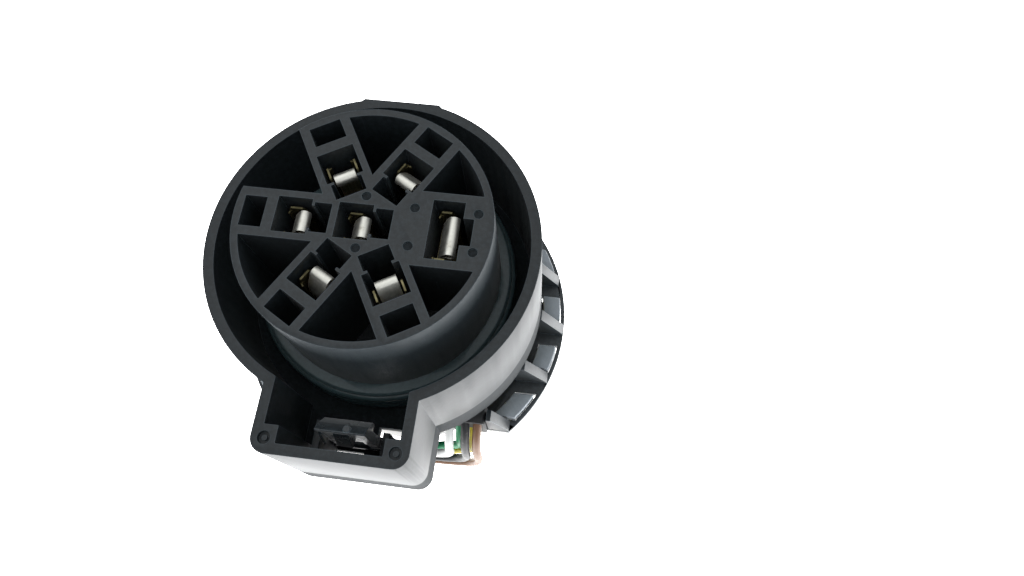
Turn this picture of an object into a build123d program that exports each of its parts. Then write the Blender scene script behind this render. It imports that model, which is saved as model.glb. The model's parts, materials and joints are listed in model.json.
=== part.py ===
from build123d import *
import math
import os

# Seven-way trailer wiring connector, T type, in millimetres.
# The mating axis is +Z.  The origin is on that axis, in the plane of the rear barrel's open end,
# on which the connector stands.  The latch tab points along -Y and the wide contact along +X.

os.makedirs("parts", exist_ok=True)

# ---------------------------------------------------------------- levels along the axis
BARREL_DEPTH = 20.0  # from the barrel's open end to the flange
FLANGE_T = 2.0
SHELL_REAR_Z = 31.7
FLOOR_Z = 36.0  # underside of the shell's floor
FLOOR_T = 2.5
RIM_Z = 63.0
CORE_FACE_Z = 72.0
FLANGE_TOP_Z = BARREL_DEPTH + FLANGE_T
FLOOR_TOP_Z = FLOOR_Z + FLOOR_T

# ---------------------------------------------------------------- outer shell and its tab
SHELL_R = 33.0
SHELL_WALL = 2.1
SHELL_BORE_R = SHELL_R - SHELL_WALL
TAB_HALF = 14.4
TAB_WALL = 2.0
TAB_BOTTOM_Y = -42.2
TAB_CORNER_R = 3.0
BOSS_SIZE = 2.7  # how far a corner boss stands in from the tab's inner wall
BOSS_HOLE_R = 1.2
BOSS_HOLE_DEPTH = 1.1
KEY_FLAT_Y = 32.5
KEY_HALF = 7.9

# ---------------------------------------------------------------- socket core
CORE_R = 24.3
CORE_FOOT_R = 23.4  # below the seal retainer's top
RETAINER_Z = (46.6, 47.6)
CORE_RING = 1.4
SECTOR_FLOOR_Z = 48.0
ARM_HALF = 4.9
PLATE_HALF = 7.5
ARM_ANGLES = (60, 120, 180, 240, 300)
KEYWAY_ANGLE = 150
ROLL_R_POS = 12.0  # radius at which a small contact's rolled spring sits
CAVITY_IN = 5.8  # cavity length from the roll towards the axis
CAVITY_OUT = 4.5
CAVITY_HALF = 3.6
CAVITY_IN_HALF = 3.0  # the inner part, past the two nibs, is narrower
NIB_X = (-2.5, -2.0)
NIB_GAP_HALF = 2.3
POCKET_R = (18.6, 22.8)
POCKET_HALF = 3.1
WIDE_ROLL_X = 16.3
CENTRE_ROLL_X = -0.4

# ---------------------------------------------------------------- contacts and wires
SHEET_T = 0.4
ROLL_TUBE_R = 1.1
CONTACT_TOP_Z = 69.6
CONTACT_BASE_Z = 50.0
BLADE_T = 0.8
BLADE_TIP_Z = 4.0
BLADE_OFFSET = 1.9  # from the rolled spring's axis to the blade and the wire behind it
WIRE_D = 2.0
WIRE_R = WIRE_D / 2
CRIMP_R = 1.6
SLEEVE_R = 2.0
SLEEVE_HALF = 1.3
BLADE_CRIMP_TOP_Z = 24.6

# ---------------------------------------------------------------- rear end
FLANGE_R = 38.6
FLANGE_FLAT_Y = -26.0
RIB_T = 2.4
RIB_PITCH = 12.25
RIB_FIRST_Y = -24.7
RIB_COUNT = 5
RIB_IN_R = 30.7
FIRST_RIB_IN_X = 23.8  # the first ribs stand clear of the lead grommet
WINDOW_IN_R = 33.3
WINDOW_OUT_R = 37.7
WINDOW_LOW = 1.5  # window's near edge above its rib's middle
WINDOW_HIGH = 8.2
BARREL_IN_R = 24.8
BARREL_OUT_R = 26.8
CARRIER_Z = 14.0
LOCK_RING_Z = 17.6
LOCK_RING_IN_R = 28.2
FINGER_TOP_Z = 24.2

# ---------------------------------------------------------------- latch
LATCH_HALF = 4.8
LATCH_IN_Y = -34.4
LATCH_OUT_Y = -36.4
LATCH_PIVOT_Z = 41.2
LATCH_PIVOT_Y = -35.4
LATCH_TOP_Z = 58.5
LATCH_BAR_R = 1.0
CHEEK_IN = 5.3
CHEEK_T = 1.3


def at(z):
    return Pos(0, 0, z)


def disc(radius, low, high):
    return extrude(at(low) * Circle(radius), high - low)


def ring(outer, inner, low, high):
    return extrude(at(low) * (Circle(outer) - Circle(inner)), high - low)


def block(x, y, z):
    """A box from its lowest and highest x, y and z."""
    size = [b - a for a, b in (x, y, z)]
    middle = [(a + b) / 2 for a, b in (x, y, z)]
    return Pos(*middle) * Box(*size)


def turned(angle, solid):
    return Rot(0, 0, angle) * solid


def save(node, *solids):
    shape = solids[0] if len(solids) == 1 else Compound(children=list(solids))
    export_step(shape, f"parts/{node}.step")
    volume = sum(s.volume for s in shape.solids())
    print(f"{node:18s} solids {len(shape.solids())}  volume {volume:9.1f}")


# ---------------------------------------------------------------- places of the seven contacts
# Each place is (turn about the axis, distance of the rolled spring, shift along X).  In a contact's
# own frame +X runs from the rolled spring to the blade.
SMALL_PLACES = [(angle, ROLL_R_POS, 0.0) for angle in ARM_ANGLES]
CENTRE_PLACE = (180, 0.0, CENTRE_ROLL_X)
WIDE_PLACE = (180, 0.0, WIDE_ROLL_X)


def placed(place, solid):
    angle, distance, shift = place
    return Pos(shift, 0, 0) * Rot(0, 0, angle) * Pos(distance, 0, 0) * solid


def wire_xy(place):
    angle, distance, shift = place
    reach = distance + BLADE_OFFSET
    return (shift + reach * math.cos(math.radians(angle)), reach * math.sin(math.radians(angle)))


ALL_PLACES = SMALL_PLACES + [CENTRE_PLACE, WIDE_PLACE]


# ---------------------------------------------------------------- outer shell
def shell_outline():
    flat = Pos(0, KEY_FLAT_Y - 50) * Rectangle(100, 100)
    key = Polygon(
        (KEY_HALF + 1.3, 31.2),
        (KEY_HALF, KEY_FLAT_Y),
        (-KEY_HALF, KEY_FLAT_Y),
        (-KEY_HALF - 1.3, 31.2),
        align=None,
    )
    tab = Pos(0, TAB_BOTTOM_Y / 2) * Rectangle(2 * TAB_HALF, -TAB_BOTTOM_Y)
    tab = fillet(tab.vertices().sort_by(Axis.Y)[:2], TAB_CORNER_R)
    return (Circle(SHELL_R) & flat) + key + tab


def shell_cavity():
    half = TAB_HALF - TAB_WALL
    bottom = TAB_BOTTOM_Y + TAB_WALL
    tab = Pos(0, bottom / 2) * Rectangle(2 * half, -bottom)
    for side in (-1, 1):
        corner = Pos(side * half, bottom) * Rectangle(2 * BOSS_SIZE, 2 * (BOSS_SIZE + 0.5))
        tab -= corner
    return Circle(SHELL_BORE_R) + tab


def outer_shell():
    height = RIM_Z - SHELL_REAR_Z
    walls = extrude(at(SHELL_REAR_Z) * (shell_outline() - shell_cavity()), height)
    floor = extrude(at(FLOOR_Z) * (shell_outline() - Circle(CORE_FOOT_R + 0.1)), FLOOR_T)
    shell = walls + floor
    # two windows through the floor beside and below the latch
    shell -= block((2.6, 7.4), (-33.2, -31.2), (FLOOR_Z - 1, FLOOR_TOP_Z + 1))
    shell -= block((-9.4, 0.4), (-38.6, -36.8), (FLOOR_Z - 1, FLOOR_TOP_Z + 1))
    # cheeks that carry the latch's pivot bar; the left one is taller
    for side, top in ((-1, 52.0), (1, 46.0)):
        x = sorted((side * CHEEK_IN, side * (CHEEK_IN + CHEEK_T)))
        shell += block(x, (-40.4, -33.4), (FLOOR_TOP_Z, top))
    pivot = Pos(0, LATCH_PIVOT_Y, LATCH_PIVOT_Z) * Rot(0, 90, 0)
    shell -= pivot * Cylinder(LATCH_BAR_R + 0.15, 2 * (CHEEK_IN + CHEEK_T) + 1)
    # blind holes with a raised core in the two corner bosses
    for side in (-1, 1):
        hole = Pos(side * (TAB_HALF - 2.5), TAB_BOTTOM_Y + 2.8, 0)
        shell -= hole * ring(BOSS_HOLE_R, 0.5, RIM_Z - BOSS_HOLE_DEPTH, RIM_Z + 1)
        shell -= hole * disc(0.55, RIM_Z - 0.4, RIM_Z + 1)
    return shell


# ---------------------------------------------------------------- socket core
def core_windows():
    """The sector-shaped openings between the arms, as one sketch."""
    sectors = Circle(CORE_R - CORE_RING)
    reach = CORE_R + 1
    for angle in ARM_ANGLES:
        sectors -= Rot(0, 0, angle) * Pos(reach / 2, 0) * Rectangle(reach, 2 * ARM_HALF)
    sectors -= Pos(reach / 2, 0) * Rectangle(reach, 2 * PLATE_HALF)
    return sectors


def keyway():
    """One sector is open to the outside: the mating part's key runs in it."""
    reach = CORE_R + 2
    wedge = Rot(0, 0, KEYWAY_ANGLE) * Pos(reach - 4, 0) * Rectangle(8, 40)
    for angle in (120, 180):
        wedge -= Rot(0, 0, angle) * Pos(reach / 2, 0) * Rectangle(reach + 8, 2 * ARM_HALF)
    keep = Rot(0, 0, KEYWAY_ANGLE) * Pos(reach / 2, 0) * Rectangle(reach, 17.5)
    return wedge & keep


def band(low, high, half):
    return Pos((low + high) / 2, 0) * Rectangle(high - low, 2 * half)


def contact_cavity():
    wide_part = band(NIB_X[0], CAVITY_OUT, CAVITY_HALF)
    narrow_part = band(-CAVITY_IN, NIB_X[0], CAVITY_IN_HALF)
    nibs = band(*NIB_X, CAVITY_HALF) - band(*NIB_X, NIB_GAP_HALF)
    return wide_part + narrow_part - nibs


def socket_core():
    low = FLOOR_Z - 2
    core = disc(CORE_FOOT_R, low, RETAINER_Z[1]) + disc(CORE_R, RETAINER_Z[1], CORE_FACE_Z)
    core += disc(27.0, low, FLOOR_Z)
    core -= extrude(at(SECTOR_FLOOR_Z) * core_windows(), CORE_FACE_Z)
    core -= extrude(at(RETAINER_Z[1]) * keyway(), CORE_FACE_Z)
    through = CORE_FACE_Z - low + 2
    for place in SMALL_PLACES + [CENTRE_PLACE]:
        core -= placed(place, extrude(at(low - 1) * contact_cavity(), through))
    wide = Pos(15.4, 0) * Rectangle(6.0, 11.8) + Pos(19.0, 0) * Rectangle(2.8, 5.4)
    core -= extrude(at(low - 1) * wide, through)
    # square pockets in the arms' outer ends
    middle = sum(POCKET_R) / 2
    pocket = Pos(middle, 0) * Rectangle(POCKET_R[1] - POCKET_R[0], 2 * POCKET_HALF)
    for angle in ARM_ANGLES:
        core -= turned(angle, extrude(at(CORE_FACE_Z - 14) * pocket, 15))
    # shallow round marks on the face
    marks = [(9.2, 3.85), (9.2, -3.85), (21.05, 3.85), (21.05, -3.85), (-0.2, 5.3), (-0.2, -5.3)]
    for x, y in marks:
        core -= Pos(x, y, 0) * disc(0.9, CORE_FACE_Z - 0.35, CORE_FACE_Z + 1)
    return core


# ---------------------------------------------------------------- seals
def ring_seal():
    low = FLOOR_TOP_Z + 0.05
    seal = ring(26.5, CORE_FOOT_R, low, RETAINER_Z[0])
    for z in (40.4, 43.0, 45.6):
        lip = Pos(26.5, z) * Circle(0.95)
        seal += revolve(Plane.XZ * lip, Axis.Z)
    return seal


def seal_retainer():
    low, high = RETAINER_Z
    inner = CORE_FOOT_R
    profile = Polygon((inner, low), (26.7, low), (26.7, low + 0.4), (26.2, high), (inner, high), align=None)
    return revolve(Plane.XZ * profile, Axis.Z)


def wire_holes(radius, low, high):
    return [Pos(*wire_xy(place), 0) * disc(radius, low, high) for place in ALL_PLACES]


def mat_seal():
    seal = disc(21.0, 32.0, 34.0)
    for hole in wire_holes(WIRE_R, 31, 35):
        seal -= hole
    return seal


def seal_cover():
    cover = disc(26.9, 30.5, 32.0) + ring(26.9, 21.1, 32.0, 34.0)
    for hole in wire_holes(WIRE_R + 0.3, 30, 33):
        cover -= hole
    return cover


# ---------------------------------------------------------------- contacts
def receptacle(half, back=3.6):
    """Channel with two side walls and a back plate, base, neck and crimp barrel."""
    walls = [block((-1.6, back), sorted((s * half, s * (half - SHEET_T))), (53, CONTACT_TOP_Z)) for s in (-1, 1)]
    plate = block((back - SHEET_T, back), (-half, half), (53, CONTACT_TOP_Z - 0.6))
    base = block((-1.6, back), (-half, half), (CONTACT_BASE_Z, 53))
    neck = block((BLADE_OFFSET - 0.9, BLADE_OFFSET + 0.9), (-1.5, 1.5), (46, CONTACT_BASE_Z))
    barrel = Pos(BLADE_OFFSET, 0, 0) * ring(CRIMP_R, WIRE_R, 37, 45)
    cap = Pos(BLADE_OFFSET, 0, 0) * disc(CRIMP_R, 45, 46)
    return walls[0] + walls[1] + plate + base + neck + barrel + cap


def spring(half):
    """Tongue with a rolled upper end, standing on the contact's base."""
    roll_z = CONTACT_TOP_Z + 0.3 - ROLL_TUBE_R
    tube = Pos(0, 0, roll_z) * Rot(90, 0, 0) * (Cylinder(ROLL_TUBE_R, 2 * half) - Cylinder(0.7, 2 * half))
    leaf = block((-ROLL_TUBE_R, -ROLL_TUBE_R + 0.35), (-half, half), (53, roll_z))
    return tube + leaf


def blade(width):
    flat = block((BLADE_OFFSET - BLADE_T / 2, BLADE_OFFSET + BLADE_T / 2), (-width / 2, width / 2), (BLADE_TIP_Z, 20))
    tip = flat.edges().filter_by(Axis.X).sort_by(Axis.Z)[:2]
    flat = chamfer(tip, 0.8)
    neck = block((BLADE_OFFSET - BLADE_T / 2, BLADE_OFFSET + BLADE_T / 2), (-1.5, 1.5), (20, 22.4))
    cap = Pos(BLADE_OFFSET, 0, 0) * disc(CRIMP_R, 22.4, 23)
    barrel = Pos(BLADE_OFFSET, 0, 0) * ring(CRIMP_R, WIRE_R, 23, BLADE_CRIMP_TOP_Z)
    return flat + neck + cap + barrel


SMALL_HALF = 2.9
SMALL_ROLL_HALF = 2.1
SMALL_BLADE = 4.8
WIDE_HALF = 5.0
WIDE_ROLL_HALF = 3.9
WIDE_BLADE = 8.0


# ---------------------------------------------------------------- rear flange, lock ring, barrel
def rib_levels():
    return [RIB_FIRST_Y + i * RIB_PITCH for i in range(RIB_COUNT)]


def chord(radius, y):
    return math.sqrt(radius**2 - y**2)


def window_bands():
    return [(y + WINDOW_LOW, y + WINDOW_HIGH) for y in rib_levels() if y + WINDOW_HIGH < 33]


def window_sketch(inner, outer, low, high):
    band = Pos(0, (low + high) / 2) * Rectangle(90, high - low)
    return (Circle(outer) - Circle(inner)) & band


def grommet_block(low):
    """The notch in the flange's flat and the rubber that fills it."""
    return block((13.6, 23.6), (-26.4, -22.6), (low, GROMMET_TOP_Z))


def rear_flange():
    above_flat = Pos(0, FLANGE_FLAT_Y + 50) * Rectangle(100, 100)
    plate = (Circle(FLANGE_R) & above_flat) - Circle(20.9)
    for low, high in window_bands():
        plate -= window_sketch(WINDOW_IN_R, WINDOW_OUT_R, low, high)
    flange = extrude(at(BARREL_DEPTH) * plate, FLANGE_T) - grommet_block(BARREL_DEPTH - 1)
    for y in rib_levels():
        inner = chord(RIB_IN_R, abs(y) + RIB_T / 2) if y else RIB_IN_R
        inner = max(inner, chord(RIB_IN_R, abs(y) - RIB_T / 2) if abs(y) > RIB_T else RIB_IN_R)
        if y == RIB_FIRST_Y:
            inner = FIRST_RIB_IN_X
        foot = chord(FLANGE_R, abs(y) + RIB_T / 2) - 0.1
        top = max(chord(SHELL_R, abs(y)) + 0.3, inner + 1.0)
        profile = Polygon(
            (inner, FLANGE_TOP_Z),
            (foot, FLANGE_TOP_Z),
            (foot, FLANGE_TOP_Z + 0.8),
            (top, SHELL_REAR_Z),
            (inner, SHELL_REAR_Z),
            align=None,
        )
        rib = Pos(0, y, 0) * extrude(Plane.XZ * profile, RIB_T / 2, both=True)
        flange += rib
        flange += mirror(rib, about=Plane.YZ)
    return flange


def lock_ring():
    above_flat = Pos(0, FLANGE_FLAT_Y + 1 + 50) * Rectangle(100, 100)
    depth = BARREL_DEPTH - LOCK_RING_Z
    body = extrude(at(LOCK_RING_Z) * ((Circle(32.6) - Circle(LOCK_RING_IN_R)) & above_flat), depth)
    for low, high in window_bands():
        foot = window_sketch(WINDOW_IN_R - 2, WINDOW_OUT_R - 0.2, low + 0.2, high - 0.7)
        body += extrude(at(LOCK_RING_Z) * foot, depth)
        finger = window_sketch(WINDOW_IN_R + 0.2, WINDOW_OUT_R - 0.2, low + 0.2, high - 0.7)
        body += extrude(at(BARREL_DEPTH) * finger, FINGER_TOP_Z - BARREL_DEPTH)
    return body


def rear_barrel():
    barrel = ring(BARREL_OUT_R, BARREL_IN_R, 0, BARREL_DEPTH)
    key = block((22.6, BARREL_IN_R + 0.5), (-4.5, 4.5), (2, CARRIER_Z - 0.2))
    return barrel + turned(KEYWAY_ANGLE, key)


def blade_carrier(blades):
    carrier = disc(BARREL_IN_R, CARRIER_Z, BARREL_DEPTH) + disc(20.8, BARREL_DEPTH, FLANGE_TOP_Z)
    for solid in blades:
        carrier -= solid
    return carrier


# ---------------------------------------------------------------- latch
def latch_arm():
    arm = block((-LATCH_HALF, LATCH_HALF), (LATCH_OUT_Y, LATCH_IN_Y), (LATCH_PIVOT_Z, LATCH_TOP_Z))
    arm -= block((-2.6, 2.6), (LATCH_OUT_Y - 1, LATCH_IN_Y + 1), (44.5, 50.5))
    bar = Pos(0, LATCH_PIVOT_Y, LATCH_PIVOT_Z) * Rot(0, 90, 0) * Cylinder(LATCH_BAR_R, 13.0)
    hook_side = Polygon((LATCH_IN_Y, 52.5), (-33.0, 52.5), (-33.0, 53.6), (LATCH_IN_Y, 57.0), align=None)
    hook = extrude(Plane.YZ * hook_side, 4.0, both=True)
    grip = block((-4.6, -2.9), (-38.2, LATCH_OUT_Y), (51.5, 56.0))
    grip += block((-1.0, 1.4), (-38.2, LATCH_OUT_Y), (51.5, 56.0))
    bump = Pos(1.2, -35.3, LATCH_TOP_Z) * Cylinder(0.8, 0.8)
    return arm + bar + hook + grip + bump


# ---------------------------------------------------------------- tap leads
RING_R = 30.1
LEVELS = {"white": 11.5, "green": 9.1, "black": 6.7, "yellow": 4.3, "brown": 1.9}
UPPER_ROW_Z = 29.0
LOWER_ROW_Z = 26.0
UPPER_OUT_Y = -31.6
LOWER_OUT_Y = -29.0
SLOPE = 5.6  # one side of each 45 degree corner run
GROMMET_TOP_Z = 30.4
TIE_R = 29.48  # the leads' arcs run a little inside the route's points

# Where each lead starts inside, its plan route to the port, its row and its place in the port.
LEADS = {
    "white": dict(joint=SMALL_PLACES[3], row=UPPER_ROW_Z, port_x=15.6, out_y=UPPER_OUT_Y),
    "green": dict(joint=CENTRE_PLACE, row=LOWER_ROW_Z, port_x=17.4, out_y=LOWER_OUT_Y),
    "black": dict(joint=SMALL_PLACES[4], row=UPPER_ROW_Z, port_x=19.2, out_y=UPPER_OUT_Y),
    "yellow": dict(joint=SMALL_PLACES[0], row=LOWER_ROW_Z, port_x=19.9, out_y=LOWER_OUT_Y),
    "brown": dict(joint=WIDE_PLACE, row=UPPER_ROW_Z, port_x=21.8, out_y=UPPER_OUT_Y),
}
INSIDE = {
    "white": [(1.5, -15.4), (8.2, -16.4), (13.6, -19.4)],
    "green": [(3.4, -3.2), (9.6, -6.4), (14.6, -11.0), (17.0, -17.2)],
    "black": [(13.6, -13.4), (17.8, -18.0)],
    "yellow": [(15.5, 17.0), (23.4, 15.6), (28.3, 8.9), (29.3, 0.4), (28.1, -7.6), (25.0, -13.4), (21.2, -17.6)],
    "brown": [(20.4, -4.0), (22.6, -11.6), (21.9, -19.8)],
}


def lead_route(name):
    facts = LEADS[name]
    row, level, x, y = facts["row"], LEVELS[name], facts["port_x"], facts["out_y"]
    joint = wire_xy(facts["joint"])
    first = INSIDE[name][0]
    span = math.dist(joint, first)
    start = [joint[i] + (first[i] - joint[i]) * SLEEVE_R / span for i in (0, 1)]
    route = [(start[0], start[1], row)]
    route += [(px, py, row) for px, py in INSIDE[name]]
    route += [(x, y + SLOPE, row), (x, y, row - SLOPE)]
    route += [(x, y, level + SLOPE), (x - SLOPE, y + 0.2, level)]
    route += [(2.0, -31.7, level), (-8.5, -29.7, level)]
    for step in range(11):
        angle = math.radians(-128 - 24 * step)
        route.append((RING_R * math.cos(angle), RING_R * math.sin(angle), level))
    return route


def corner_radii(route):
    radii = []
    for a, b, c in zip(route, route[1:], route[2:]):
        before = Vector(*b) - Vector(*a)
        after = Vector(*c) - Vector(*b)
        turn = math.radians(before.get_angle(after))
        radii.append(0.45 * min(before.length, after.length) / math.tan(turn / 2))
    return radii


def lead(name):
    route = lead_route(name)
    radii = corner_radii(route)
    path = FilletPolyline(*route, radius=radii)
    section = Plane(origin=path @ 0, z_dir=path % 0) * Circle(WIRE_R)
    tube = sweep(section, path=path)
    print(
        f"lead_{name}: length {path.length:.1f}, smallest radius {min(radii):.1f},",
        f"volume / (section x length) {tube.volume / (math.pi * WIRE_R**2 * path.length):.4f}",
    )
    return tube


def lead_grommet(leads):
    body = grommet_block(BARREL_DEPTH)
    body = fillet(body.edges().filter_by(Axis.Y), 1.0)
    for tube in leads:
        body -= tube
    return body


def lead_tie(angle):
    outer = Pos(TIE_R, 6.7) * Rectangle(3.5, 13.2)
    inner = Pos(TIE_R, 6.7) * Rectangle(2.5, 12.0)
    band = extrude(Plane.XZ * (fillet(outer.vertices(), 0.8) - inner), 1.25, both=True)
    return turned(angle, band)


# ---------------------------------------------------------------- write every node
save("outer_shell", outer_shell())
save("socket_core", socket_core())
save("seal_retainer", seal_retainer())
save("ring_seal", ring_seal())
save("mat_seal", mat_seal())
save("seal_cover", seal_cover())

for number, place in enumerate(SMALL_PLACES, 1):
    save(f"receptacle_{number}", placed(place, receptacle(SMALL_HALF)))
save("centre_receptacle", placed(CENTRE_PLACE, receptacle(SMALL_HALF)))
save("wide_receptacle", placed(WIDE_PLACE, receptacle(WIDE_HALF, 3.2)))

springs = [placed(place, spring(SMALL_ROLL_HALF)) for place in SMALL_PLACES + [CENTRE_PLACE]]
springs.append(placed(WIDE_PLACE, spring(WIDE_ROLL_HALF)))
save("contact_springs", *springs)

small_blades = [placed(place, blade(SMALL_BLADE)) for place in SMALL_PLACES]
centre_blade = placed(CENTRE_PLACE, blade(SMALL_BLADE))
wide_blade = placed(WIDE_PLACE, blade(WIDE_BLADE))
for number, solid in enumerate(small_blades, 1):
    save(f"blade_{number}", solid)
save("centre_blade", centre_blade)
save("wide_blade", wide_blade)

save("jumper_wires", *[Pos(*wire_xy(place), 0) * disc(WIRE_R, 23, 45) for place in ALL_PLACES])
sleeves = []
for facts in LEADS.values():
    body = ring(SLEEVE_R, WIRE_R, facts["row"] - SLEEVE_HALF, facts["row"] + SLEEVE_HALF)
    sleeves.append(Pos(*wire_xy(facts["joint"]), 0) * body)
save("splice_sleeves", *sleeves)

save("rear_flange", rear_flange())
save("lock_ring", lock_ring())
save("rear_barrel", rear_barrel())
save("blade_carrier", blade_carrier(small_blades + [centre_blade, wide_blade]))
save("latch_arm", latch_arm())

leads = {name: lead(name) for name in LEADS}
for name, tube in leads.items():
    save(f"lead_{name}", tube)
save("lead_grommet", lead_grommet(list(leads.values())))
save("lead_ties", *[lead_tie(angle) for angle in (20, 95, 175)])
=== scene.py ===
"""Looks of a round trailer wiring connector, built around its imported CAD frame.  Metres, +Z up."""

import json
import math

import bmesh
import bpy
from mathutils import Euler, Matrix, Vector


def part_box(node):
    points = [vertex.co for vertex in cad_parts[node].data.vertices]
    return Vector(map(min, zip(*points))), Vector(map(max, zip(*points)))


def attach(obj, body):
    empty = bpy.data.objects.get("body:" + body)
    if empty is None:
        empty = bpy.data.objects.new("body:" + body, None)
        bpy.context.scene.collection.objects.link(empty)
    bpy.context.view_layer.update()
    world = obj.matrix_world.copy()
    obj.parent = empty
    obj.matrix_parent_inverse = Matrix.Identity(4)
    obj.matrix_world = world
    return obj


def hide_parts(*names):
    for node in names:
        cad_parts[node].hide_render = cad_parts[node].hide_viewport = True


MM = 0.001

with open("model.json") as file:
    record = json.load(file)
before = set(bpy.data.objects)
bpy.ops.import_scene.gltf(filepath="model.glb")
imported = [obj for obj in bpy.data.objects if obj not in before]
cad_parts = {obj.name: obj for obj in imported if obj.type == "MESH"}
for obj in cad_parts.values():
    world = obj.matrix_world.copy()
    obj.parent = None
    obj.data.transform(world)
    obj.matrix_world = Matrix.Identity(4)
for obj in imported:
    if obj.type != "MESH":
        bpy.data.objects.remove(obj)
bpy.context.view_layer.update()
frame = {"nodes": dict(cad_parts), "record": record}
nodes = frame["nodes"]

# ---------------------------------------------------------------- camera, floor and light
CAMERA_PLACE = Vector((38.94, -56.78, 195.11)) * MM
CAMERA_TURN = (21.242, 1.864, 7.256)  # degrees about X, Y and Z
CAMERA_LENS = 26.48  # millimetres on a 36 mm sensor


def degrees(*angles):
    return [math.radians(angle) for angle in angles]


def make_camera():
    data = bpy.data.cameras.new("camera")
    data.lens = CAMERA_LENS
    data.sensor_width = 36
    data.clip_start = 0.005
    data.clip_end = 20
    camera = bpy.data.objects.new("camera", data)
    camera.location = CAMERA_PLACE
    camera.rotation_euler = Euler(degrees(*CAMERA_TURN))
    bpy.context.scene.collection.objects.link(camera)
    bpy.context.scene.camera = camera


def area_light(name, place, target, size, power):
    data = bpy.data.lights.new(name, "AREA")
    data.shape = "RECTANGLE"
    data.size, data.size_y = size
    data.energy = power
    light = bpy.data.objects.new(name, data)
    light.location = place
    direction = Vector(target) - Vector(place)
    light.rotation_euler = direction.to_track_quat("-Z", "Y").to_euler()
    bpy.context.scene.collection.objects.link(light)


HAZE_TOP = 0.08  # up to this height on a unit sky the dome keeps its horizon colour
ZENITH_START = 0.55  # and above this one its zenith colour


def make_world(zenith, horizon, strength):
    """A sky dome that is bright overhead and dimmer towards the horizon."""
    world = bpy.data.worlds.new("studio")
    world.use_nodes = True
    tree = world.node_tree
    background = tree.nodes["Background"]
    background.inputs["Strength"].default_value = strength
    place = tree.nodes.new("ShaderNodeTexCoord")
    split = tree.nodes.new("ShaderNodeSeparateXYZ")
    ramp = tree.nodes.new("ShaderNodeValToRGB")
    low, high = ramp.color_ramp.elements
    low.position, low.color = HAZE_TOP, (*horizon, 1)
    high.position, high.color = ZENITH_START, (*zenith, 1)
    tree.links.new(place.outputs["Generated"], split.inputs["Vector"])
    tree.links.new(split.outputs["Z"], ramp.inputs["Fac"])
    tree.links.new(ramp.outputs["Color"], background.inputs["Color"])
    bpy.context.scene.world = world


# ---------------------------------------------------------------- materials
EDGE_SAMPLES = 6
EDGE_AGREEMENT = (0.84, 0.985)  # cosines between the rounded and the plain normal, at an edge and off it


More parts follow.
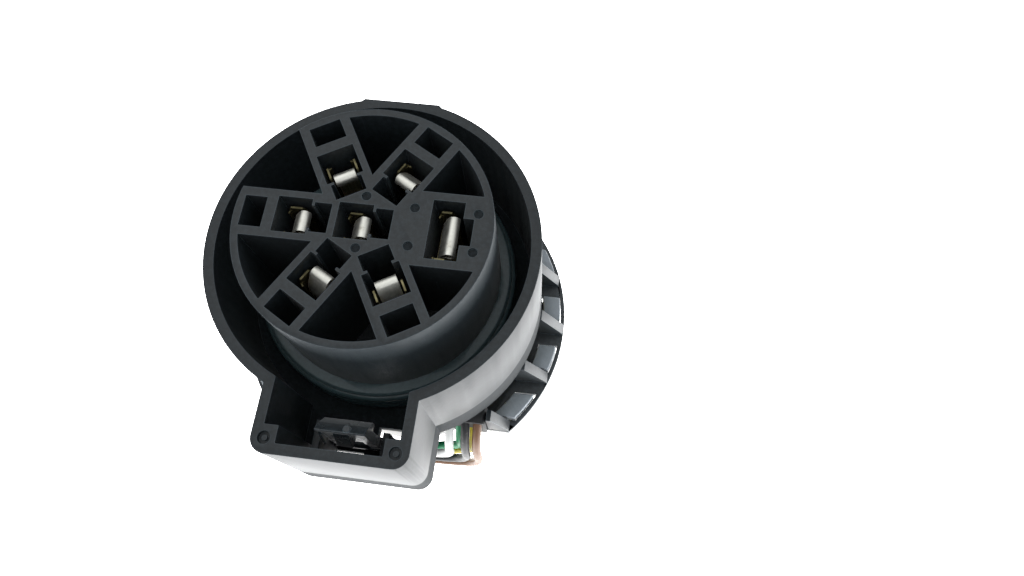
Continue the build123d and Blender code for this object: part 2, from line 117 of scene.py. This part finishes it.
class Shader:
    """A Principled material with helpers for its procedural nodes."""

    def __init__(self, name, **settings):
        self.material = bpy.data.materials.new(name)
        self.material.use_nodes = True
        self.tree = self.material.node_tree
        self.surface = self.tree.nodes["Principled BSDF"]
        self.coordinates = self.tree.nodes.new("ShaderNodeTexCoord").outputs["Object"]
        self.heights = []
        for label, value in settings.items():
            self.surface.inputs[label.replace("_", " ")].default_value = value

    def link(self, output, target):
        self.tree.links.new(output, target)

    def scaled(self, stretch, turn=(0, 0, 0)):
        mapping = self.tree.nodes.new("ShaderNodeMapping")
        mapping.inputs["Scale"].default_value = stretch
        mapping.inputs["Rotation"].default_value = degrees(*turn)
        self.link(self.coordinates, mapping.inputs["Vector"])
        return mapping.outputs["Vector"]

    def noise(self, scale, detail=4.0, roughness=0.55, stretch=(1, 1, 1), turn=(0, 0, 0)):
        node = self.tree.nodes.new("ShaderNodeTexNoise")
        node.inputs["Scale"].default_value = scale
        node.inputs["Detail"].default_value = detail
        node.inputs["Roughness"].default_value = roughness
        self.link(self.scaled(stretch, turn), node.inputs["Vector"])
        return node.outputs["Fac"]

    def spread(self, value, low, high, start=0.35, end=0.65):
        """Maps a value between start and end to one between low and high."""
        node = self.tree.nodes.new("ShaderNodeMapRange")
        for label, number in (("From Min", start), ("From Max", end), ("To Min", low), ("To Max", high)):
            node.inputs[label].default_value = number
        self.link(value, node.inputs["Value"])
        return node.outputs["Result"]

    def height(self):
        """The height above the surface that the connector stands on, in metres."""
        split = self.tree.nodes.new("ShaderNodeSeparateXYZ")
        self.link(self.coordinates, split.inputs["Vector"])
        return split.outputs["Z"]

    def radius(self):
        """The distance from the mating axis, in metres."""
        flat = self.tree.nodes.new("ShaderNodeVectorMath")
        flat.operation = "MULTIPLY"
        flat.inputs[1].default_value = (1, 1, 0)
        self.link(self.coordinates, flat.inputs[0])
        length = self.tree.nodes.new("ShaderNodeVectorMath")
        length.operation = "LENGTH"
        self.link(flat.outputs["Vector"], length.inputs[0])
        return length.outputs["Value"]

    def edges(self, width):
        """A mask that rises to 1 along the surface's edges."""
        rounded = self.tree.nodes.new("ShaderNodeBevel")
        rounded.samples = EDGE_SAMPLES
        rounded.inputs["Radius"].default_value = width
        plain = self.tree.nodes.new("ShaderNodeNewGeometry")
        agree = self.tree.nodes.new("ShaderNodeVectorMath")
        agree.operation = "DOT_PRODUCT"
        self.link(rounded.outputs["Normal"], agree.inputs[0])
        self.link(plain.outputs["Normal"], agree.inputs[1])
        return self.spread(agree.outputs["Value"], 1, 0, *EDGE_AGREEMENT)

    def computed(self, operation, a, b):
        """One step of arithmetic on two values."""
        node = self.tree.nodes.new("ShaderNodeMath")
        node.operation = operation
        self.link(a, node.inputs[0])
        self.link(b, node.inputs[1])
        return node.outputs["Value"]

    def larger(self, a, b):
        return self.computed("MAXIMUM", a, b)

    def product(self, a, b):
        return self.computed("MULTIPLY", a, b)

    def colours(self, value, *stops):
        """A colour ramp; each stop is (position, (r, g, b))."""
        node = self.tree.nodes.new("ShaderNodeValToRGB")
        ramp = node.color_ramp
        while len(ramp.elements) < len(stops):
            ramp.elements.new(0.5)
        for element, (position, colour) in zip(ramp.elements, stops):
            element.position = position
            element.color = (*colour, 1)
        self.link(value, node.inputs["Fac"])
        return node.outputs["Color"]

    def mixed(self, factor, a, b):
        """Colour a where the factor is 0 and colour b where it is 1; each may be a socket or (r, g, b)."""
        node = self.tree.nodes.new("ShaderNodeMix")
        node.data_type = "RGBA"
        self.link(factor, node.inputs["Factor"])
        sockets = [socket for socket in node.inputs if socket.type == "RGBA"]
        for socket, value in zip(sockets, (a, b)):
            if isinstance(value, bpy.types.NodeSocket):
                self.link(value, socket)
            else:
                socket.default_value = (*value, 1)
        return [socket for socket in node.outputs if socket.type == "RGBA"][0]

    def colour(self, output):
        self.link(output, self.surface.inputs["Base Color"])

    def rough(self, output):
        self.link(output, self.surface.inputs["Roughness"])

    def bump(self, height, distance, strength):
        """Adds a relief on top of those that were added before it."""
        node = self.tree.nodes.new("ShaderNodeBump")
        node.inputs["Strength"].default_value = strength
        node.inputs["Distance"].default_value = distance
        self.link(height, node.inputs["Height"])
        if self.heights:
            self.link(self.heights[-1], node.inputs["Normal"])
        self.heights.append(node.outputs["Normal"])
        self.link(node.outputs["Normal"], self.surface.inputs["Normal"])


def tone(colour, factor):
    """The same colour, lighter or darker."""
    return tuple(part * factor for part in colour)


def scratches(shader, turn, density):
    """Thin straight marks, as a mask that is 1 on a mark."""
    streaks = shader.noise(420.0, 1.0, 0.4, (1, 0.03, 0.03), turn)
    where = shader.noise(95.0, 2.0, 0.5)
    line = shader.spread(streaks, 0, 1, density, density + 0.02)
    return shader.product(line, shader.spread(where, 0, 1, 0.6, 0.64))


FADE = 0.05 * MM  # over this distance one finish passes into the next
EDGE_HIGHLIGHT_WIDTH = 0.32 * MM  # how far in from an edge the plastic is painted lighter, as a painted highlight
# the roughness where the core's outer wall has its painted sheen
PAINTED_SHEEN_ROUGHNESS = 0.52


def moulded_plastic(
    name, colour, roughness=0.36, scratched_and_edge_lit=True, sheen=0.12, mottled=2.8, matt_below=None, matt_band=None,
    painted_sheen_from=None
):
    """Satin moulded plastic: flow marks, fine mould grain, dust, handling smears and scratches.

    Sheen is the dusty bloom that such plastic shows at a low angle, and mottled is how much lighter its
    fine flecks are.  Below the height matt_below its surface is coarse and dull, as at the bottom of a
    deep mould, and so it is between the two heights of matt_band.  Beyond the radius given as the last
    argument its colour is painted lighter, a painted sheen where the wall would catch the light, and its
    surface is rougher.  When it gets scratches, its edges also get a painted highlight, a lighter colour
    near every edge.
    """
    shader = Shader(name, Sheen_Weight=sheen, Sheen_Roughness=0.4)
    flow = shader.noise(60.0, 5.0, 0.6, (1, 1, 0.35))
    smears = shader.noise(150.0, 6.0, 0.65, (1, 0.5, 1))
    mottle = shader.noise(1100.0, 4.0, 0.7)
    base = shader.colours(flow, (0.3, tone(colour, 0.82)), (0.55, colour), (0.75, tone(colour, 1.22)))
    base = shader.mixed(shader.spread(mottle, 0, 0.7, 0.42, 0.7), base, tone(colour, mottled))
    specks = shader.spread(shader.noise(1700.0, 2.0), 0, 0.5, 0.68, 0.76)
    base = shader.mixed(specks, base, tone(colour, mottled * 1.1))
    grain = shader.noise(2600.0, 3.0)
    shader.bump(grain, 0.02 * MM, 0.35)
    shader.bump(mottle, 0.03 * MM, 0.4)
    if painted_sheen_from is not None:
        # painted sheen: beyond this radius the colour is painted lighter, as the core's outer wall catches
        # the light
        painted_sheen_mask = shader.spread(shader.radius(), 0, 1, painted_sheen_from - FADE, painted_sheen_from)
        painted_sheen_colours = shader.colours(flow, (0.3, tone(colour, 2.6)), (0.7, tone(colour, 4)))
        base = shader.mixed(painted_sheen_mask, base, painted_sheen_colours)
    if scratched_and_edge_lit:
        marks = scratches(shader, (20, 35, 50), 0.665)
        base = shader.mixed(marks, base, tone(colour, 3.5))
        # painted highlight: the colour is painted lighter near every edge
        base = shader.mixed(shader.edges(EDGE_HIGHLIGHT_WIDTH), base, tone(colour, 7))
        shader.bump(marks, 0.03 * MM, 0.5)
    shader.colour(base)
    satin = shader.spread(smears, roughness, roughness + 0.02)
    if matt_below is not None:
        depth = shader.spread(shader.height(), 1.0, 0.0, matt_below, matt_below + 1.0 * MM)
        satin = shader.larger(satin, depth)
    if matt_band is not None:
        low, high = matt_band
        above = shader.spread(shader.height(), 0, 1, low, low + FADE)
        below = shader.spread(shader.height(), 1, 0, high - FADE, high)
        satin = shader.larger(satin, shader.product(above, below))
    if painted_sheen_from is not None:
        satin = shader.larger(satin, shader.spread(painted_sheen_mask, 0, PAINTED_SHEEN_ROUGHNESS, 0, 1))
    shader.rough(satin)
    return shader.material


def rubber(name, colour, roughness=0.55):
    """Moulded silicone: soft bloom in patches and a powdery fine grain."""
    shader = Shader(name)
    bloom = shader.noise(130.0, 5.0, 0.6)
    base = shader.colours(bloom, (0.3, tone(colour, 0.75)), (0.55, colour), (0.8, tone(colour, 1.6)))
    shader.colour(base)
    shader.rough(shader.spread(bloom, roughness + 0.1, roughness - 0.08))
    shader.bump(shader.noise(1900.0, 3.0), 0.02 * MM, 0.5)
    return shader.material


def plated_metal(name, bright, stain, roughness, staining=0.62):
    """Thin sheet metal: rolling lines, small waviness and a stain, wider spread when staining is low."""
    shader = Shader(name, Metallic=1.0)
    lines = shader.noise(2400.0, 3.0, 0.6, (1, 1, 0.04))
    blotches = shader.noise(520.0, 5.0, 0.65)
    base = shader.colours(lines, (0.3, tone(bright, 0.9)), (0.7, bright))
    base = shader.mixed(shader.spread(blotches, 0, 0.75, staining, staining + 0.16), base, stain)
    shader.colour(base)
    shader.rough(shader.spread(blotches, roughness, roughness + 0.16, 0.35, 0.75))
    shader.bump(lines, 0.006 * MM, 0.25)
    shader.bump(shader.noise(330.0, 2.0), 0.05 * MM, 0.16)
    return shader.material


WIRE_DUST = (0.3, 0.29, 0.27)
WIRE_ROUGHNESS = 0.34


def insulation(name, colour):
    """Extruded wire insulation: a slight drift in its colour, a fine grain and dusty handling marks."""
    shader = Shader(name)
    drift = shader.noise(190.0, 4.0)
    dust = shader.noise(900.0, 4.0, 0.7)
    base = shader.colours(drift, (0.3, tone(colour, 0.86)), (0.6, colour), (0.8, tone(colour, 1.1)))
    base = shader.mixed(shader.spread(dust, 0, 0.35, 0.6, 0.75), base, WIRE_DUST)
    shader.colour(base)
    shader.rough(shader.spread(dust, WIRE_ROUGHNESS, WIRE_ROUGHNESS + 0.2))
    shader.bump(shader.noise(1500.0, 2.0), 0.02 * MM, 0.3)
    return shader.material


BLACK_PLASTIC = (0.0068, 0.0092, 0.0108)
TIE_BLACK = (0.01, 0.01, 0.011)
GREY_PLASTIC = (0.25, 0.275, 0.3)
TEAL_PLASTIC = (0.045, 0.07, 0.076)
TEAL_RUBBER = (0.04, 0.066, 0.072)
BLACK_RUBBER = (0.012, 0.012, 0.013)
TIN = (0.86, 0.83, 0.75)
TIN_STAIN = (0.36, 0.34, 0.24)
BLADE_TIN = (0.78, 0.76, 0.7)
CRIMP = (0.68, 0.62, 0.45)
CRIMP_STAIN = (0.42, 0.3, 0.14)
CUT_BRASS = (0.66, 0.57, 0.3)
CUT_BRASS_STAIN = (0.14, 0.11, 0.04)
DULL_BRASS = (0.16, 0.14, 0.075)
DULL_BRASS_STAIN = (0.4, 0.35, 0.19)
WIRE_COLOURS = {
    "jumper": (0.06, 0.06, 0.065),
    "white": (0.78, 0.78, 0.76),
    "green": (0.0, 0.26, 0.1),
    "black": (0.011, 0.011, 0.012),
    "yellow": (0.62, 0.52, 0.03),
    "brown": (0.2, 0.095, 0.045),
}

CORE_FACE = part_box("socket_core")[1].z
CORE_WALL_R = 24.3 * MM
MARK_FLOORS = (CORE_FACE - 0.4 * MM, CORE_FACE - 0.25 * MM)  # the round marks' floors lie between these
GAP_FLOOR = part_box("ring_seal")[0].z + 0.5 * MM  # just above the floor between the shell and the core


def make_materials():
    """Every material by its slot's name, and the two kinds of brass that the contacts also need."""
    made = [
        moulded_plastic("shell_plastic", BLACK_PLASTIC, 0.46, sheen=0.06, matt_below=GAP_FLOOR),
        # the core's outer wall gets a painted sheen, a lighter colour beyond its radius
        moulded_plastic("core_plastic", tone(BLACK_PLASTIC, 1.1), 0.38, sheen=0.06,
                        painted_sheen_from=CORE_WALL_R - FADE, matt_band=MARK_FLOORS),
        moulded_plastic("latch_plastic", tone(BLACK_PLASTIC, 2.2), 0.26, sheen=0.3),
        moulded_plastic("flange_plastic", tone(BLACK_PLASTIC, 1.6), sheen=0.2),
        moulded_plastic("barrel_plastic", tone(BLACK_PLASTIC, 1.1)),
        moulded_plastic("carrier_plastic", tone(BLACK_PLASTIC, 1.9), 0.42),
        moulded_plastic("lock_ring_plastic", GREY_PLASTIC, scratched_and_edge_lit=False, mottled=1.2),
        moulded_plastic("cover_plastic", tone(BLACK_PLASTIC, 1.7), 0.4),
        moulded_plastic("retainer_plastic", TEAL_PLASTIC, 0.34, mottled=1.4),
        moulded_plastic("tie_plastic", TIE_BLACK, 0.3, scratched_and_edge_lit=False),
        rubber("seal_rubber", TEAL_RUBBER, 0.34),
        rubber("grommet_rubber", BLACK_RUBBER),
        plated_metal("tinned_contact", TIN, TIN_STAIN, 0.42),
        plated_metal("tinned_blade", BLADE_TIN, TIN_STAIN, 0.22),
        plated_metal("crimp_metal", CRIMP, CRIMP_STAIN, 0.26),
        plated_metal("cut_brass", CUT_BRASS, CUT_BRASS_STAIN, 0.38, staining=0.5),
        plated_metal("dull_brass", DULL_BRASS, DULL_BRASS_STAIN, 0.34, staining=0.52),
    ]
    made += [insulation(f"{wire}_insulation", colour) for wire, colour in WIRE_COLOURS.items()]
    # the CAD's own materials hold the plain names already, so Blender puts .001 after these
    return {material.name.partition(".")[0]: material for material in made}


# ---------------------------------------------------------------- tap leads
# Lengths are in millimetres, and angles in degrees.
WIRE_R = 1.0
SLEEVE_R = 2.0
WIRE_REACH = 13.9  # radius of the wires behind the five outer contacts
UPPER_ROW = 29.0  # heights of the two rows of leads inside the housing
LOWER_ROW = 26.0
UPPER_OUT = -31.6  # the Y where the leads of each row turn down
LOWER_OUT = -29.0
SLOPE = 5.6  # how far before and after a turn its points lie
UNDER_TAB = [(2.0, -31.7), (-8.5, -29.7)]  # where the bundle passes below the tab
RING_R = 30.1  # the bundle's radius round the barrel
RING_START = -128
RING_STEP = -24
RING_POINTS = 11


def round_the_axis(radius, angle):
    """The X and Y of a point at that distance from the axis and that angle in degrees."""
    return (radius * math.cos(math.radians(angle)), radius * math.sin(math.radians(angle)))


# Each lead: where its splice is, its plan points inside, row height, port and level in the bundle, all in
# millimetres, and then its length in metres.
LEADS = {
    "white": (round_the_axis(WIRE_REACH, 240), [(1.5, -15.4), (8.2, -16.4), (13.6, -19.4)],
              UPPER_ROW, (15.6, UPPER_OUT), 11.5, 0.2012),
    "green": ((-2.3, 0.0), [(3.4, -3.2), (9.6, -6.4), (14.6, -11.0), (17.0, -17.2)],
              LOWER_ROW, (17.4, LOWER_OUT), 9.1, 0.2072),
    "black": (round_the_axis(WIRE_REACH, 300), [(13.6, -13.4), (17.8, -18.0)],
              UPPER_ROW, (19.2, UPPER_OUT), 6.7, 0.2017),
    "yellow": (round_the_axis(WIRE_REACH, 60),
               [(15.5, 17.0), (23.4, 15.6), (28.3, 8.9), (29.3, 0.4), (28.1, -7.6), (25.0, -13.4),
                (21.2, -17.6)],
               LOWER_ROW, (19.9, LOWER_OUT), 4.3, 0.2412),
    "brown": ((14.4, 0.0), [(20.4, -4.0), (22.6, -11.6), (21.9, -19.8)],
              UPPER_ROW, (21.8, UPPER_OUT), 1.9, 0.2176),
}


def lead_route(splice, inside, row, port, level):
    """The lead's points in metres: out of its splice, through the port, down, and round the barrel."""
    splice, first = Vector(splice), Vector(inside[0])
    start = splice + (first - splice).normalized() * SLEEVE_R
    x, y = port
    route = [(*start, row)]
    route += [(px, py, row) for px, py in inside]
    route += [(x, y + SLOPE, row), (x, y, row - SLOPE)]
    route += [(x, y, level + SLOPE), (x - SLOPE, y + 0.2, level)]
    route += [(px, py, level) for px, py in UNDER_TAB]
    for step in range(RING_POINTS):
        route.append((*round_the_axis(RING_R, RING_START + RING_STEP * step), level))
    return [Vector(point) * MM for point in route]


def make_lead(name):
    """One insulated tap lead, as a cord on its route."""
    splice, inside, row, port, level, length = LEADS[name]
    route = lead_route(splice, inside, row, port, level)
    data = bpy.data.curves.new(f"lead_{name}_cord", "CURVE")
    data.dimensions = "3D"
    spline = data.splines.new("NURBS")
    spline.points.add(len(route) - 1)
    for place, point in zip(spline.points, route):
        place.co = (*point, 1)
    spline.order_u = 3
    spline.use_endpoint_u = True
    data.resolution_u = 10
    data.bevel_depth = WIRE_R * MM
    data.bevel_resolution = 5
    data.use_fill_caps = True
    cord = bpy.data.objects.new(f"lead_{name}_cord", data)
    bpy.context.scene.collection.objects.link(cord)
    data.materials.append(materials[f"{name}_insulation"])
    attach(cord, "housing")
    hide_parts(f"lead_{name}")


# ---------------------------------------------------------------- CAD nodes
WELD_DISTANCE = 0.001 * MM
FLAT_WITHIN = 0.6  # degrees between faces that count as one flat face
CAD_EDGE_ANGLE = 32
SHEET_EDGE_ANGLE = 40


def round_edges(piece, width, angle):
    """Rounds the edges that are sharper than the angle, by that width in millimetres."""
    bevel = piece.modifiers.new("edges", "BEVEL")
    bevel.width = width * MM
    bevel.segments = 2
    bevel.limit_method = "ANGLE"
    bevel.angle_limit = math.radians(angle)
    bevel.harden_normals = True
    piece.data.shade_smooth()


def soften(node, width):
    """Rounds the edges of a CAD node, after its flat faces are joined up."""
    piece = nodes[node]
    weld = piece.modifiers.new("weld", "WELD")
    weld.merge_threshold = WELD_DISTANCE
    flatten = piece.modifiers.new("flatten", "DECIMATE")
    flatten.decimate_type = "DISSOLVE"
    flatten.angle_limit = math.radians(FLAT_WITHIN)
    round_edges(piece, width, CAD_EDGE_ANGLE)


def paint(piece, *painted):
    """Gives the object these materials and no others."""
    piece.data.materials.clear()
    for material in painted:
        piece.data.materials.append(material)


# the width of the rounded edges of each moulded node, in millimetres
SOFTENED = {
    "outer_shell": 0.25,
    "socket_core": 0.2,
    "rear_flange": 0.2,
    "lock_ring": 0.3,
    "rear_barrel": 0.25,
    "seal_retainer": 0.12,
    "seal_cover": 0.15,
    "blade_carrier": 0.2,
    "lead_grommet": 0.2,
    "lead_ties": 0.15,
}


def finish_cad_nodes():
    """Gives every CAD node its slot's material, and rounds the edges of the moulded ones."""
    slots = {part["node"]: part["material_slot"] for part in frame["record"]["subparts"]}
    for name, piece in nodes.items():
        paint(piece, materials[slots[name]])
    for name, width in SOFTENED.items():
        soften(name, width)


# ---------------------------------------------------------------- stamped contacts
# In a contact's own frame, in millimetres, +X runs outward from the rolled spring and Z is the real
# height.  A place is (turn about the axis, distance of the roll from the turn's centre, shift along X).
ROLL_DISTANCE = 12.0
SMALL_PLACES = {str(number): (60 * number, ROLL_DISTANCE, 0.0) for number in range(1, 6)}
CENTRE_PLACE = (180, 0.0, -0.4)
WIDE_PLACE = (180, 0.0, 16.3)
IN_PLACE = (0, 0.0, 0.0)

# A cage's size is its half width, the X of its back and the top of its back wall.  A spring's size is its
# half width and the X of its foot.
SMALL_CAGE = (2.9, 3.6, 60.0)
WIDE_CAGE = (5.0, 3.2, 63.0)
SMALL_SPRING = (2.1, 2.85)
WIDE_SPRING = (3.9, 2.5)

SHEET_T = 0.4
LIP_T = 0.32
CAGE_IN_X = -0.4
CAGE_TOP = 69.5
BASE_Z = 53.0
BASE_LOW = 50.0
LIP_LOW = 60.0
LIP_TOP = 68.4
NECK_LOW = 45.9
NECK_HALF = 1.5
CRIMP_X = 1.9
CRIMP_BORE_R = WIRE_R + 0.02
CRIMPS = ((1.6, 37.2, 40.4), (1.45, 41.0, NECK_LOW))  # outer radius, bottom and top: insulation, then core
CRIMP_STEPS = 28
OVERLAP = 0.01  # parts of one stamping run this far into or stop this far short of each other

LEAF_T = 0.35
ROLL_R = 1.18
ROLL_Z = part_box("contact_springs")[1].z / MM - ROLL_R
ROLL_START = 46
ROLL_END = 330


def placed(place):
    """The matrix that takes a contact's own frame to its place."""
    angle, distance, shift = place
    turn = Matrix.Rotation(math.radians(angle), 4, "Z")
    return Matrix.Translation((shift * MM, 0, 0)) @ turn @ Matrix.Translation((distance * MM, 0, 0))


def prism(bm, outline, axis, low, high, cap=0, side=0):
    """Extrudes a closed outline along X (its points are y, z), Y (x, z) or Z (x, y).

    Cap and side are the numbers of the materials on its two ends and round it.
    """
    def corner(point, level):
        a, b = point
        return Vector({"X": (level, a, b), "Y": (a, level, b), "Z": (a, b, level)}[axis]) * MM

    rings = [[bm.verts.new(corner(point, level)) for point in outline] for level in (low, high)]
    for ends in (rings[0][::-1], rings[1]):
        bm.faces.new(ends).material_index = cap
    count = len(outline)
    for i in range(count):
        j = (i + 1) % count
        bm.faces.new((rings[0][i], rings[0][j], rings[1][j], rings[1][i])).material_index = side


def strip(path, thickness):
    """The closed outline of a sheet of that thickness that follows an open path."""
    points = [Vector(point) for point in path]
    left, right = [], []
    for i, point in enumerate(points):
        before = points[max(i - 1, 0)]
        after = points[min(i + 1, len(points) - 1)]
        along = (after - before).normalized()
        across = Vector((-along.y, along.x)) * thickness / 2
        left.append(point + across)
        right.append(point - across)
    return [tuple(point) for point in left + right[::-1]]


def arc(centre, radius, start, end, steps):
    """Points along an arc, from one angle to the other."""
    points = []
    for i in range(steps + 1):
        x, y = round_the_axis(radius, start + (end - start) * i / steps)
        points.append((centre[0] + x, centre[1] + y))
    return points


def round_outline(centre, radius):
    """A closed outline in the shape of a circle."""
    return arc(centre, radius, 0, 345, 23)


def crimp_tube(bm, outer, low, high):
    """A short tube along Z round the wire, as a band of quads on each of its four faces."""
    corners = [(outer, low), (outer, high), (CRIMP_BORE_R, high), (CRIMP_BORE_R, low)]
    rings = []
    for i in range(CRIMP_STEPS):
        x, y = round_the_axis(1, 360 * i / CRIMP_STEPS)
        rings.append([bm.verts.new(Vector((CRIMP_X + r * x, r * y, z)) * MM) for r, z in corners])
    for i in range(CRIMP_STEPS):
        a, b = rings[i], rings[(i + 1) % CRIMP_STEPS]
        for k in range(4):
            bm.faces.new((a[k], b[k], b[(k + 1) % 4], a[(k + 1) % 4]))


def piece_from(bm, name, place, painted, edge, body="housing"):
    """Makes the mesh an object with rounded edges, which stands in its place and rides on the body."""
    bmesh.ops.recalc_face_normals(bm, faces=bm.faces)
    data = bpy.data.meshes.new(name)
    bm.to_mesh(data)
    bm.free()
    data.transform(placed(place))
    piece = bpy.data.objects.new(name, data)
    bpy.context.scene.collection.objects.link(piece)
    paint(piece, *painted)
    round_edges(piece, edge, SHEET_EDGE_ANGLE)
    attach(piece, body)
    return piece


def make_cage(name, place, size, node):
    """The stamped body: side walls with cut brass edges, a back wall, base, neck and wire crimps."""
    half, back, back_top = size
    bm = bmesh.new()
    wall = [(CAGE_IN_X, BASE_Z), (back, BASE_Z), (back, CAGE_TOP - 1.3), (back - 0.7, CAGE_TOP),
            (0.6, CAGE_TOP), (0.0, CAGE_TOP - 0.6), (CAGE_IN_X, CAGE_TOP - 2.3)]
    for side in (-1, 1):
        low, high = sorted((side * half, side * (half - SHEET_T)))
        prism(bm, wall, "Y", low, high, cap=0, side=1)
        # the wall's upper outer corner is bent in, which guides the blade
        lip = strip([(back - 1.3, side * (half - 0.2)), (back - 0.4, side * (half - 0.35)),
                     (back - 0.15, side * (half - 1.0))], LIP_T)
        prism(bm, lip, "Z", LIP_LOW, LIP_TOP, cap=1, side=0)
    back_half = half - 0.3
    back_wall = [(back - SHEET_T, -back_half), (back, -back_half), (back, back_half),
                 (back - SHEET_T, back_half)]
    prism(bm, back_wall, "Z", BASE_Z, back_top, cap=1, side=0)
    base = [(CAGE_IN_X, -half), (back, -half), (back, half), (CAGE_IN_X, half)]
    prism(bm, base, "Z", BASE_LOW, BASE_Z - OVERLAP)
    neck = [(1.1, -NECK_HALF), (2.7, -NECK_HALF), (2.7, NECK_HALF), (1.1, NECK_HALF)]
    prism(bm, neck, "Z", NECK_LOW, BASE_LOW + OVERLAP)
    for outer, low, high in CRIMPS:
        crimp_tube(bm, outer, low, high)
    painted = (materials["dull_brass"], materials["cut_brass"])
    cage = piece_from(bm, name, place, painted, 0.03)
    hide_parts(node)


def make_spring(name, place, size):
    """The tongue: it stands on the base, leans in near the top and ends in an open roll."""
    half, foot = size
    bm = bmesh.new()
    lean = [(foot, BASE_Z), (foot, 60.0), (foot - 0.05, 64.4), (foot - 0.28, 66.4), (foot - 0.8, 67.6),
            (1.35, 68.6)]
    roll = arc((0, ROLL_Z), ROLL_R - LEAF_T / 2, ROLL_START, ROLL_END, 26)
    prism(bm, strip(lean + roll, LEAF_T), "Y", -half, half, cap=1, side=0)
    painted = (materials["tinned_contact"], materials["cut_brass"])
    return piece_from(bm, name, place, painted, 0.05)


def make_contacts():
    for number, place in SMALL_PLACES.items():
        make_cage(f"cage_{number}", place, SMALL_CAGE, f"receptacle_{number}")
        make_spring(f"spring_{number}", place, SMALL_SPRING)
    make_cage("centre_cage", CENTRE_PLACE, SMALL_CAGE, "centre_receptacle")
    make_spring("centre_spring", CENTRE_PLACE, SMALL_SPRING)
    make_cage("wide_cage", WIDE_PLACE, WIDE_CAGE, "wide_receptacle")
    wide = make_spring("wide_spring", WIDE_PLACE, WIDE_SPRING)
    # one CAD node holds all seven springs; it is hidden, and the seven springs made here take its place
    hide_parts("contact_springs")


# ---------------------------------------------------------------- latch
LATCH_HALF = 4.8
LATCH_OUT_Y = -36.4
LATCH_IN_Y = -34.4
LATCH_PIVOT = (-35.4, 41.2)  # y and z of the bar that it turns on
LATCH_BAR_R = 1.0
LATCH_BAR_HALF = 6.5
LATCH_TOP = 58.5
LEG_IN_X = 2.6
LEG_TOP = 50.6
HEAD_LOW = 50.5
CATCH_Y = -33.0
CATCH_LOW = 52.5
CATCH_HIGH = 53.6
RIB_OUT_Y = -37.9
RIBS = ((-4.4, -3.8), (-1.6, 1.4))  # from and to, along X
BUMP_X = 1.2
BUMP_R = 0.7


def make_latch():
    """The latch: an arm in two legs on a round bar, a sloped top with a catch, and two ribs in front."""
    bm = bmesh.new()
    leg = [(LATCH_OUT_Y + 0.2, LATCH_PIVOT[1]), (LATCH_IN_Y, LATCH_PIVOT[1]), (LATCH_IN_Y, LEG_TOP),
           (LATCH_OUT_Y, LEG_TOP)]
    for side in (-1, 1):
        low, high = sorted((side * LATCH_HALF, side * LEG_IN_X))
        prism(bm, leg, "X", low, high)
    head = [(LATCH_OUT_Y, HEAD_LOW), (LATCH_IN_Y, HEAD_LOW), (LATCH_IN_Y, CATCH_LOW), (CATCH_Y, CATCH_LOW),
            (CATCH_Y, CATCH_HIGH), (LATCH_IN_Y, 56.4), (LATCH_IN_Y - 0.2, 57.0),
            (LATCH_OUT_Y + 0.35, LATCH_TOP), (LATCH_OUT_Y, LATCH_TOP)]
    prism(bm, head, "X", -LATCH_HALF, LATCH_HALF)
    # the ribs lean out towards the foot, where a finger or a tool pushes
    rib = [(LATCH_OUT_Y + 0.1, 57.2), (LATCH_OUT_Y - 0.5, 56.4), (RIB_OUT_Y, 51.6), (LATCH_OUT_Y + 0.1, 51.0)]
    for low, high in RIBS:
        prism(bm, rib, "X", low, high)
    bump = round_outline((BUMP_X, LATCH_OUT_Y + 0.9), BUMP_R)
    prism(bm, bump, "Z", LATCH_TOP - 1.6, LATCH_TOP + 0.1)
    prism(bm, round_outline(LATCH_PIVOT, LATCH_BAR_R), "X", -LATCH_BAR_HALF, LATCH_BAR_HALF)
    painted = (materials["latch_plastic"],)
    latch = piece_from(bm, "latch_clip", IN_PLACE, painted, 0.15, body="latch")
    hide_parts("latch_arm")


# ---------------------------------------------------------------- the scene
FLOOR_HALF = 2.0
FLOOR_WHITE = (0.88, 0.88, 0.88, 1)
FLOOR_GLOW = 3.2
SKY_ZENITH = (0.92, 0.97, 1.0)
SKY_HORIZON = (0.3, 0.33, 0.36)
SKY_STRENGTH = 0.92
LAMP_PLACE = (-0.25, 0.35, 0.85)
LAMP_TARGET = (0, 0, 0.05)
LAMP_SIZE = (0.75, 0.75)
LAMP_POWER = 0.62


def make_floor():
    """A glowing white table top, which lights the object's sides from below."""
    data = bpy.data.meshes.new("floor")
    corners = [(x * FLOOR_HALF, y * FLOOR_HALF, 0) for x, y in ((-1, -1), (1, -1), (1, 1), (-1, 1))]
    data.from_pydata(corners, [], [(0, 1, 2, 3)])
    floor = bpy.data.objects.new("floor", data)
    bpy.context.scene.collection.objects.link(floor)
    shader = Shader("light_table", Base_Color=FLOOR_WHITE, Roughness=0.9, Emission_Color=(1, 1, 1, 1),
                    Emission_Strength=FLOOR_GLOW)
    paint(floor, shader.material)


make_camera()
materials = make_materials()
for name in LEADS:
    make_lead(name)

make_world(SKY_ZENITH, SKY_HORIZON, SKY_STRENGTH)
area_light("overhead", LAMP_PLACE, LAMP_TARGET, LAMP_SIZE, LAMP_POWER)
make_floor()

finish_cad_nodes()
make_contacts()
make_latch()

bpy.context.scene.view_settings.view_transform = "Standard"
